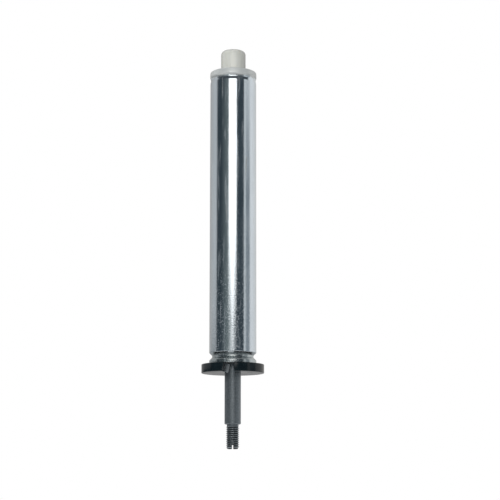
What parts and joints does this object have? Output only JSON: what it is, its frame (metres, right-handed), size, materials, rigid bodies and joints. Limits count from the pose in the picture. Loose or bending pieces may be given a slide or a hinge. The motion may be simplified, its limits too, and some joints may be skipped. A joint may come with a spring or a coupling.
{
  "type": "washing machine shock absorber",
  "caption": "Slim telescopic hydraulic damper: bright zinc barrel with an ivory plastic top spigot, sliding on a dark rod with a slit black stop disc and a threaded stud.",
  "frame": {"origin": "on the rod's axis, at the shoulder between the threaded stud and the plain stem", "axes": "+Z along the rod, from the stud up to the plastic spigot; the slit of the stop disc opens towards -Y, turned a little to -X"},
  "size_m": [0.0386, 0.0386, 0.2514],
  "materials": {
    "dark_steel": "dark nitrided steel, matt",
    "black_rubber": "black, smooth and glossy",
    "zinc_steel": "bright bluish zinc plating with fine drawing lines",
    "ivory_plastic": "natural ivory nylon, satin",
    "seal_rubber": "matt",
    "spring_steel": "blued spring steel",
    "plain_steel": "plain turned steel",
    "sintered_iron": "fine-grained",
    "glide_plastic": "bronze-filled, matt",
    "cast_aluminium": "turned",
    "bronze": "plain bush"
  },
  "bodies": {
    "rod": {"piston_rod": "dark_steel", "stop_disc": "black_rubber", "rebound_buffer": "seal_rubber", "buffer_ring": "spring_steel", "support_washer": "plain_steel", "rebound_valve_disc": "spring_steel", "piston": "sintered_iron", "piston_ring": "glide_plastic", "compression_valve_disc": "spring_steel", "valve_spring": "spring_steel", "stop_washer": "plain_steel", "piston_nut": "plain_steel"},
    "barrel": {"barrel_tube": "zinc_steel", "rod_guide": "cast_aluminium", "guide_bush": "bronze", "wiper_ring": "seal_rubber", "rod_seal": "seal_rubber", "seal_retainer": "plain_steel", "guide_o_ring": "seal_rubber", "top_cap": "cast_aluminium", "cap_o_ring": "seal_rubber", "top_stub": "ivory_plastic", "compensation_spring": "spring_steel"},
    "separator": {"separator_piston": "glide_plastic", "separator_o_ring": "seal_rubber"}
  },
  "joints": [
    {"name": "barrel_slide", "type": "slide", "parent": "rod", "child": "barrel", "axis": [0, 0, 1], "range_m": [0, 0.08]},
    {"name": "separator_slide", "type": "slide", "parent": "barrel", "child": "separator", "axis": [0, 0, -1], "range_m": [0, 0.0114], "deforming": ["compensation_spring"]}
  ],
  "couplings": [
    {"joint": "separator_slide", "follows": "barrel_slide", "ratio": 0.1413}
  ]
}
